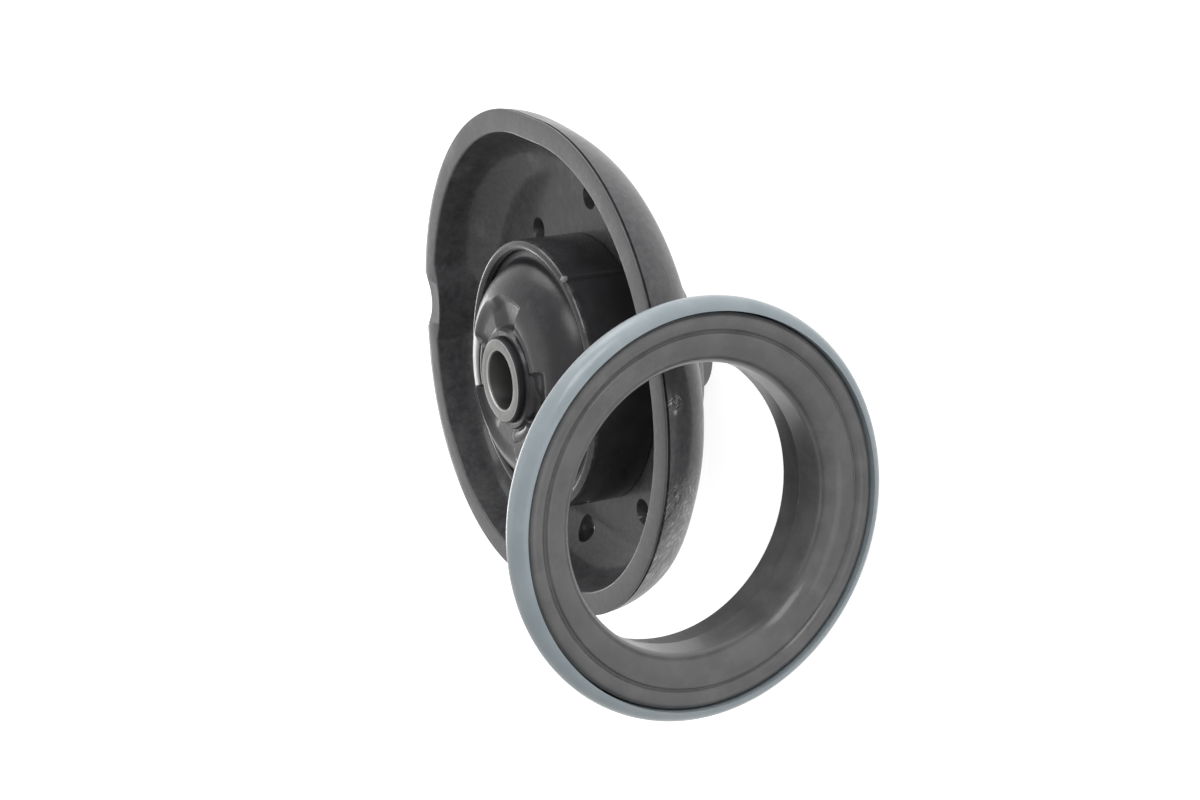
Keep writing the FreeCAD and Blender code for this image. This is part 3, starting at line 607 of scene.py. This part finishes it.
# %% Scratches
scratch_group, given, gives = new_group(
    "patch of scratches",
    [("Vector", "NodeSocketVector", None), ("Centre", "NodeSocketVector", None),
     ("Reach", "NodeSocketFloat", 0.02), ("Turn", "NodeSocketVector", None)],
    [("Mask", "NodeSocketFloat"), ("Haze", "NodeSocketFloat")])
where = given.outputs["Vector"]
away = add(scratch_group, "ShaderNodeVectorMath", operation="DISTANCE")
join(scratch_group, where, away.inputs[0])
join(scratch_group, given.outputs["Centre"], away.inputs[1])
gone = maths(scratch_group, "DIVIDE", away.outputs["Value"], given.outputs["Reach"])
fade = between(scratch_group, maths(scratch_group, "SUBTRACT", 1.0, gone, True), 0.0, 0.6)
stretched = add(scratch_group, "ShaderNodeMapping", vector_type="TEXTURE")
join(scratch_group, where, stretched.inputs["Vector"])
join(scratch_group, given.outputs["Turn"], stretched.inputs["Rotation"])
stretched.inputs["Scale"].default_value = (9.0, 1.0, 1.0)   # nine times as long as wide
drawn = stretched.outputs["Vector"]
lines = between(scratch_group, noise(scratch_group, drawn, 2300.0, 2.0, 0.6), 0.51, 0.64)
blotch = between(scratch_group, noise(scratch_group, where, 420.0, 4.0, 0.7), 0.42, 0.57)
soft = between(scratch_group, noise(scratch_group, drawn, 700.0, 5.0, 0.7), 0.4, 0.62)
scored = times(scratch_group, times(scratch_group, lines, blotch), fade, True)
join(scratch_group, scored, gives.inputs["Mask"])
join(scratch_group, times(scratch_group, soft, fade, True), gives.inputs["Haze"])
print("groups:", [group.name for group in bpy.data.node_groups])

# %% [markdown]
# ## Materials
#
# The cup and the bearing are mouldings with a dull sheen, the rubber is dark and a little glossy,
# and the can's black coating hides its steel. Colours are written as display values and turned
# into the linear values that shaders take. Those of the pieces that show were set by comparing
# tones of renders with the photo's at some points. Every finish lets the grain's clouds vary its
# colour, and most let them or the marks vary its roughness.


# %% Material helpers
def display(red, green, blue):
    """A display colour from 0 to 255 as linear red, green, blue and an alpha of one."""
    value = np.array([red, green, blue]) / 255
    linear = np.where(value <= 0.04045, value / 12.92, ((value + 0.055) / 1.055) ** 2.4)
    return (*[float(channel) for channel in linear], 1.0)


def finish(name, roughness, metallic=0.0, specular=0.5, coat=0.0, coat_roughness=0.2):
    """A new material: its tree, its shader and the Object coordinates of the piece."""
    material = bpy.data.materials.new(name)
    material.use_nodes = True
    tree = material.node_tree
    tree.nodes.clear()
    shader = add(tree, "ShaderNodeBsdfPrincipled")
    shader.inputs["Roughness"].default_value = roughness
    shader.inputs["Metallic"].default_value = metallic
    shader.inputs["Specular IOR Level"].default_value = specular
    shader.inputs["Coat Weight"].default_value = coat
    shader.inputs["Coat Roughness"].default_value = coat_roughness
    output = add(tree, "ShaderNodeOutputMaterial")
    join(tree, shader.outputs["BSDF"], output.inputs["Surface"])
    coordinates = add(tree, "ShaderNodeTexCoord")
    print("material:", name)
    return material, tree, shader, coordinates.outputs["Object"]


def placed(tree, group, **values):
    """A node group in a tree, with its number and vector inputs set by name."""
    node = add(tree, "ShaderNodeGroup", node_tree=group)
    for key, value in values.items():
        if hasattr(value, "links"):
            join(tree, value, node.inputs[key])
        else:
            node.inputs[key].default_value = value
    return node


def tint(tree, mask, first, second):
    """One colour turning into another where a mask rises; each is a colour or a socket."""
    node = add(tree, "ShaderNodeMix", data_type="RGBA")
    join(tree, mask, node.inputs["Factor"])
    colour_inputs = [each for each in node.inputs if each.type == "RGBA"]
    for socket, value in zip(colour_inputs, (first, second)):
        if hasattr(value, "links"):
            join(tree, value, socket)
        else:
            socket.default_value = value
    return [each for each in node.outputs if each.type == "RGBA"][0]


def bumped(tree, shader, height, strength, distance):
    """A Bump node on the shader's normal, driven by a height; the distance is in metres."""
    node = add(tree, "ShaderNodeBump")
    node.inputs["Strength"].default_value = strength
    node.inputs["Distance"].default_value = distance
    join(tree, height, node.inputs["Height"])
    join(tree, node.outputs["Normal"], shader.inputs["Normal"])


def steered(tree, mask, low, high):
    """A number that runs from low to high with a mask, such as a roughness."""
    return maths(tree, "ADD", times(tree, mask, high - low), low)


def about_rod(tree, where):
    """A point's distance from the rod's axis and its height, as two sockets.

    The distance is the square root of x squared plus y squared.
    """
    split = add(tree, "ShaderNodeSeparateXYZ")
    join(tree, where, split.inputs["Vector"])
    x, y, height = split.outputs
    squares = maths(tree, "ADD", times(tree, x, x), times(tree, y, y))
    return maths(tree, "SQRT", squares), height


# %% [markdown]
# The cup is mottled, and its wall is scuffed in three places. The rim's face is painted a little
# paler, a painted highlight on the face that the light meets, and the scuffs stop under it. Masks
# over the height do both without splitting the mesh.

# %% Cup moulding
cup_finish, tree, shader, where = finish("cup moulding", 0.5, specular=0.22, coat=0.4,
                                         coat_roughness=0.14)
grain = placed(tree, grain_group, Vector=where, Size=1400.0)
marks = placed(tree, smudge_group, Vector=where, Amount=0.9)
_, height = about_rod(tree, where)
on_wall = between(tree, height, -0.0008, -0.0013)
mottle = between(tree, noise(tree, where, 620.0, 5.0, 0.65), 0.38, 0.66)
colour = tint(tree, grain.outputs["Cloud"], display(66, 66, 69), display(82, 82, 84))
colour = tint(tree, times(tree, mottle, 0.5), colour, display(100, 100, 101))
# the rim's face is painted paler: a painted highlight
rim_painted_light = between(tree, height, -0.0005, -0.0001)
colour = tint(tree, times(tree, rim_painted_light, 0.35), colour, display(124, 124, 125))
colour = tint(tree, marks.outputs["Mask"], colour, display(128, 128, 129))
# a patch's middle and reach in metres, and the turn of its lines in radians about X, Y and Z
SCUFFS = (((-0.0240, -0.0565, -0.0055), 0.0140, (0.0, 0.78, -0.43)),
          ((-0.0335, -0.0510, -0.0035), 0.0130, (0.0, 0.40, -0.60)),
          ((0.0033, -0.0618, -0.0029), 0.0030, (0.0, 1.2, -0.1)))
for centre, span, slant in SCUFFS:
    scratch = placed(tree, scratch_group, Vector=where, Centre=centre, Reach=span, Turn=slant)
    haze = times(tree, times(tree, scratch.outputs["Haze"], on_wall), 0.5)
    colour = tint(tree, haze, colour, display(165, 165, 165))
    line = times(tree, scratch.outputs["Mask"], on_wall)
    colour = tint(tree, line, colour, display(222, 222, 221))
join(tree, colour, shader.inputs["Base Color"])
join(tree, steered(tree, grain.outputs["Cloud"], 0.42, 0.56), shader.inputs["Roughness"])
bumped(tree, shader, grain.outputs["Height"], 0.25, 0.0003)
seat_cup.data.materials.append(cup_finish)

# %% [markdown]
# The lip's two edges, on both sides of its crest, are painted pale in patches: partly rubbed
# coating and partly painted highlight. The hardened bead is pale too. The lip is a circle, so the
# distance from the rod's axis finds it on the whole way round.

# %% Can coating
LIP_CREST = 0.0313                        # metres from the rod's axis
NUB_CREST = (0.0258, -0.0202, 0.0007)     # the bead's top, in metres
can_finish, tree, shader, where = finish("black coated steel", 0.34, specular=0.25, coat=0.4,
                                         coat_roughness=0.12)
grain = placed(tree, grain_group, Vector=where, Size=1100.0)
marks = placed(tree, smudge_group, Vector=where, Amount=1.0)
reach, height = about_rod(tree, where)
off_crest = maths(tree, "ABSOLUTE", maths(tree, "SUBTRACT", reach, LIP_CREST))
edge_highlight = between(tree, off_crest, 0.0006, 0.0009)
near_lip = between(tree, height, -0.0008, 0.0002)
patches = between(tree, noise(tree, where, 300.0, 4.0, 0.7), 0.4, 0.62)
# pale patches on the lip's edges: partly rubbed coating, partly painted highlight
wear_and_highlight = times(tree, times(tree, near_lip, edge_highlight), patches)
colour = tint(tree, grain.outputs["Cloud"], display(48, 48, 50), display(58, 58, 60))
colour = tint(tree, times(tree, wear_and_highlight, 0.6), colour, display(96, 96, 97))
to_nub = add(tree, "ShaderNodeVectorMath", operation="DISTANCE")
join(tree, where, to_nub.inputs[0])
to_nub.inputs[1].default_value = NUB_CREST
on_nub = between(tree, to_nub.outputs["Value"], 0.0011, 0.0006)
colour = tint(tree, on_nub, colour, display(150, 150, 150))
join(tree, colour, shader.inputs["Base Color"])
join(tree, steered(tree, marks.outputs["Mask"], 0.24, 0.45), shader.inputs["Roughness"])
bumped(tree, shader, grain.outputs["Height"], 0.15, 0.0003)
hub_can.data.materials.append(can_finish)

# %% [markdown]
# The rubber has a soft gloss, so it takes a rough clear coat over a dark base. A greyer band where
# it meets the lip is painted light, given by a mask over the distance from the axis.

# %% Bush rubber
rubber_finish, tree, shader, where = finish("bush rubber", 0.36, specular=0.15, coat=0.5,
                                            coat_roughness=0.28)
grain = placed(tree, grain_group, Vector=where, Size=800.0)
marks = placed(tree, smudge_group, Vector=where, Amount=1.0)
colour = tint(tree, grain.outputs["Cloud"], display(31, 31, 34), display(39, 39, 42))
reach, _ = about_rod(tree, where)
# painted light: a paler band where the rubber meets the lip
painted_light_by_lip = between(tree, reach, 0.0272, 0.0281)
colour = tint(tree, painted_light_by_lip, colour, display(84, 84, 86))
colour = tint(tree, marks.outputs["Mask"], colour, display(66, 66, 70))
join(tree, colour, shader.inputs["Base Color"])
join(tree, steered(tree, marks.outputs["Mask"], 0.28, 0.5), shader.inputs["Roughness"])
bumped(tree, shader, grain.outputs["Height"], 0.3, 0.0004)
bush.data.materials.append(rubber_finish)

# %% [markdown]
# The sleeve's face has the fine rings of a lathe round the axis: a sine of the distance from it.
# Its two edges carry a painted highlight, its side above the rubber is painted dark as painted
# shade, and its foot is bare steel like the face.

# %% Sleeve steel
RING_RATE = 21000.0     # radians of the sine for each metre from the axis
FACE_MIDDLE = 0.0085    # metres from the axis to the middle of the face
sleeve_metal, tree, shader, where = finish("machined steel", 0.5, metallic=1.0)
grain = placed(tree, grain_group, Vector=where, Size=700.0)
reach, height = about_rod(tree, where)
side = between(tree, reach, 0.00965, 0.00995)
ripple = times(tree, maths(tree, "SINE", times(tree, reach, RING_RATE)), 0.25)
lathe = between(tree, maths(tree, "ADD", ripple, grain.outputs["Height"]), 0.3, 0.75)
colour = tint(tree, lathe, display(112, 112, 111), display(136, 136, 134))
off_middle = maths(tree, "ABSOLUTE", maths(tree, "SUBTRACT", reach, FACE_MIDDLE))
on_face = between(tree, height, 0.0080, 0.0086)
# both edges of the face are painted bright: a painted highlight
edge_highlight = times(tree, between(tree, off_middle, 0.0010, 0.0013), on_face)
colour = tint(tree, edge_highlight, colour, display(184, 184, 182))
# the side above the rubber is painted dark: painted shade
painted_shade_above_foot = between(tree, height, -0.0200, -0.0190)
colour = tint(tree, times(tree, side, painted_shade_above_foot), colour, display(52, 52, 54))
join(tree, colour, shader.inputs["Base Color"])
join(tree, steered(tree, grain.outputs["Cloud"], 0.42, 0.56), shader.inputs["Roughness"])
bumped(tree, shader, grain.outputs["Height"], 0.12, 0.0002)
sleeve.data.materials.append(sleeve_metal)

# %% [markdown]
# Both of the bearing's rings are one grey moulding compound, paler than the cup and with a finer
# sheen, which the photo shows as soft streaks of light in the bell-mouth.

# %% Ring moulding
ring_finish, tree, shader, where = finish("ring moulding", 0.45, specular=0.2, coat=0.5,
                                          coat_roughness=0.16)
grain = placed(tree, grain_group, Vector=where, Size=1300.0)
marks = placed(tree, smudge_group, Vector=where, Amount=0.6)
colour = tint(tree, grain.outputs["Cloud"], display(97, 97, 98), display(111, 110, 110))
colour = tint(tree, marks.outputs["Mask"], colour, display(130, 130, 130))
join(tree, colour, shader.inputs["Base Color"])
join(tree, steered(tree, grain.outputs["Cloud"], 0.38, 0.5), shader.inputs["Roughness"])
bumped(tree, shader, grain.outputs["Height"], 0.2, 0.0003)
for piece in (top_ring, base_ring):
    piece.data.materials.append(ring_finish)

# %% [markdown]
# The rim seal is softer and blue-grey, with paler handling marks.

# %% Seal moulding
seal_finish, tree, shader, where = finish("blue-grey rim", 0.42, specular=0.3, coat=0.6,
                                          coat_roughness=0.2)
grain = placed(tree, grain_group, Vector=where, Size=1200.0)
marks = placed(tree, smudge_group, Vector=where, Amount=0.8)
colour = tint(tree, grain.outputs["Cloud"], display(151, 163, 169), display(160, 171, 176))
colour = tint(tree, marks.outputs["Mask"], colour, display(178, 188, 191))
join(tree, colour, shader.inputs["Base Color"])
bumped(tree, shader, grain.outputs["Height"], 0.2, 0.0003)
rim_seal.data.materials.append(seal_finish)

# %% [markdown]
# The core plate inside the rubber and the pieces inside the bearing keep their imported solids,
# because the pieces round them hide them. They still get finishes of their own: ground steel for
# the plate and races, a moulded cage and polished balls.

# %% Hidden pieces
race_finish, tree, shader, where = finish("ground race steel", 0.3, metallic=1.0)
grain = placed(tree, grain_group, Vector=where, Size=600.0)
join(tree, tint(tree, grain.outputs["Cloud"], display(160, 160, 160), display(186, 186, 186)),
     shader.inputs["Base Color"])
cage_finish, tree, shader, where = finish("cage moulding", 0.5)
grain = placed(tree, grain_group, Vector=where, Size=1200.0)
join(tree, tint(tree, grain.outputs["Cloud"], display(188, 184, 172), display(204, 200, 190)),
     shader.inputs["Base Color"])
bumped(tree, shader, grain.outputs["Height"], 0.2, 0.0003)
ball_finish, tree, shader, where = finish("polished ball steel", 0.12, metallic=1.0)
grain = placed(tree, grain_group, Vector=where, Size=500.0)
join(tree, tint(tree, grain.outputs["Cloud"], display(196, 196, 198), display(214, 214, 216)),
     shader.inputs["Base Color"])


def dress(node_name, material):
    """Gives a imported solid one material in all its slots."""
    node = nodes[node_name]
    node.data.materials.clear()
    node.data.materials.append(material)


for node_name in ("core_plate", "upper_race", "lower_race"):
    dress(node_name, race_finish)
dress("ball_cage", cage_finish)
balls = [node_name for node_name in nodes if node_name.startswith("bearing_ball_")]
for node_name in balls:
    dress(node_name, ball_finish)
print("dressed the core plate, two races, the cage and", len(balls), "balls")

# %% [markdown]
# ## Floor, light and camera
#
# The photograph is a white cut-out. The floor and the world are white to the camera and in
# reflections, while the light that they throw on the object stays at a plain level.


# %% Floor
def looked_at(tree):
    """1 for rays from the camera, a reflection or glass, and 0 for light thrown on things."""
    path = add(tree, "ShaderNodeLightPath")
    through = maths(tree, "MAXIMUM", path.outputs["Is Glossy Ray"],
                    path.outputs["Is Transmission Ray"])
    return maths(tree, "MAXIMUM", path.outputs["Is Camera Ray"], through)


FLOOR = SLEEVE_FOOT * MM
FLOOR_HALF = 3
FLOOR_WHITE, FLOOR_GLOW = 0.86, 0.8
corners = [(-FLOOR_HALF, -FLOOR_HALF, FLOOR), (FLOOR_HALF, -FLOOR_HALF, FLOOR),
           (FLOOR_HALF, FLOOR_HALF, FLOOR), (-FLOOR_HALF, FLOOR_HALF, FLOOR)]
floor_mesh = bpy.data.meshes.new("floor")
floor_mesh.from_pydata(corners, [], [(0, 1, 2, 3)])
floor = bpy.data.objects.new("floor", floor_mesh)
bpy.context.scene.collection.objects.link(floor)
floor_finish = bpy.data.materials.new("white floor")
floor_finish.use_nodes = True
tree = floor_finish.node_tree
tree.nodes.clear()
diffuse = add(tree, "ShaderNodeBsdfDiffuse")
diffuse.inputs["Color"].default_value = (FLOOR_WHITE, FLOOR_WHITE, FLOOR_WHITE, 1)
glow = add(tree, "ShaderNodeEmission")
glow.inputs["Color"].default_value = (1, 1, 1, 1)
join(tree, times(tree, looked_at(tree), FLOOR_GLOW), glow.inputs["Strength"])
both = add(tree, "ShaderNodeAddShader")
join(tree, diffuse.outputs["BSDF"], both.inputs[0])
join(tree, glow.outputs["Emission"], both.inputs[1])
out = add(tree, "ShaderNodeOutputMaterial")
join(tree, both.outputs["Shader"], out.inputs["Surface"])
floor.data.materials.append(floor_finish)
print("floor at", FLOOR, "m")

# %% World
ROOM_LIGHT = 0.37
world = bpy.data.worlds.new("studio")
bpy.context.scene.world = world
world.use_nodes = True
tree = world.node_tree
tree.nodes.clear()
room = add(tree, "ShaderNodeBackground")
room.inputs["Color"].default_value = (1, 1, 1, 1)
room.inputs["Strength"].default_value = ROOM_LIGHT
white = add(tree, "ShaderNodeBackground")
white.inputs["Color"].default_value = (1, 1, 1, 1)
white.inputs["Strength"].default_value = 1.0
pick = add(tree, "ShaderNodeMixShader")
join(tree, looked_at(tree), pick.inputs["Fac"])
join(tree, room.outputs["Background"], pick.inputs[1])
join(tree, white.outputs["Background"], pick.inputs[2])
out = add(tree, "ShaderNodeOutputWorld")
join(tree, pick.outputs["Shader"], out.inputs["Surface"])
print("the world lights the object at", ROOM_LIGHT)

# %% [markdown]
# Six wide soft lamps give the photo's light: one high over the mouth, which is the picture's left,
# one low behind, one in front, and three on the side that is up in the picture, two of them low.
# Renders of each lamp alone were fitted to the photo's tones for the first powers, and comparing
# whole renders with the photo gave the last.


# %% Lamps
def soft_lamp(name, place, aim, side, power):
    """A square area lamp at a place in metres that faces an aim; the side is its width."""
    light = bpy.data.lights.new(name, "AREA")
    light.shape = "SQUARE"
    light.size = side
    light.energy = power
    lamp = bpy.data.objects.new(name, light)
    lamp.location = place
    lamp.rotation_euler = (Vector(aim) - Vector(place)).to_track_quat("-Z", "Y").to_euler()
    bpy.context.scene.collection.objects.link(lamp)
    print(name, "at", place, "with", power, "W")


middle = (0.0, -0.04, -0.01)
soft_lamp("lamp at the left", (0.05, 0.35, 0.75), middle, 0.5, 0.5)
soft_lamp("lamp low behind", (-0.12, 0.8, 0.08), middle, 0.3, 0.85)
soft_lamp("lamp at the side", (0.7, -0.45, 0.3), middle, 0.4, 2.4)
soft_lamp("lamp in front", (-0.1, -0.9, 0.1), middle, 0.5, 1.0)
soft_lamp("lamp above, behind", (0.7, 0.35, 0.1), middle, 0.4, 1.0)
soft_lamp("lamp above, low", (0.75, 0.1, 0.06), middle, 0.4, 1.2)

# %% [markdown]
# The camera stands in front of the bearing and looks down on the rim's plane by 27 degrees. It is
# rolled so that X points nearly up in the picture, and the cup seems to stand on its edge. Its
# place and lens come from a fit of the photo's ellipses: where it is, the way to its right and the
# way back from the object are all that a camera needs.

# %% Camera
right = Vector((-0.0489, -0.4747, -0.8788)).normalized()
back = Vector((0.2211, -0.8632, 0.4540))
back = (back - right * back.dot(right)).normalized()
up = back.cross(right)
camera_data = bpy.data.cameras.new("camera")
camera_data.lens = 54.0
camera_data.sensor_width = 36.0
camera_data.clip_start = 0.01
camera = bpy.data.objects.new("camera", camera_data)
camera_turn = Matrix((right, up, back)).transposed().to_4x4()
camera.matrix_world = Matrix.Translation((0.0885, -0.3796, 0.1820)) @ camera_turn
bpy.context.scene.collection.objects.link(camera)
bpy.context.scene.camera = camera
bpy.context.scene.view_settings.view_transform = "Standard"
print("camera looks along", tuple(round(-value, 3) for value in back))

# %% [markdown]
# ## The scene brought up to date
#
# The dressed object must stay in the solids' box, but for a small share of each side.

# %% Update
bpy.context.view_layer.update()
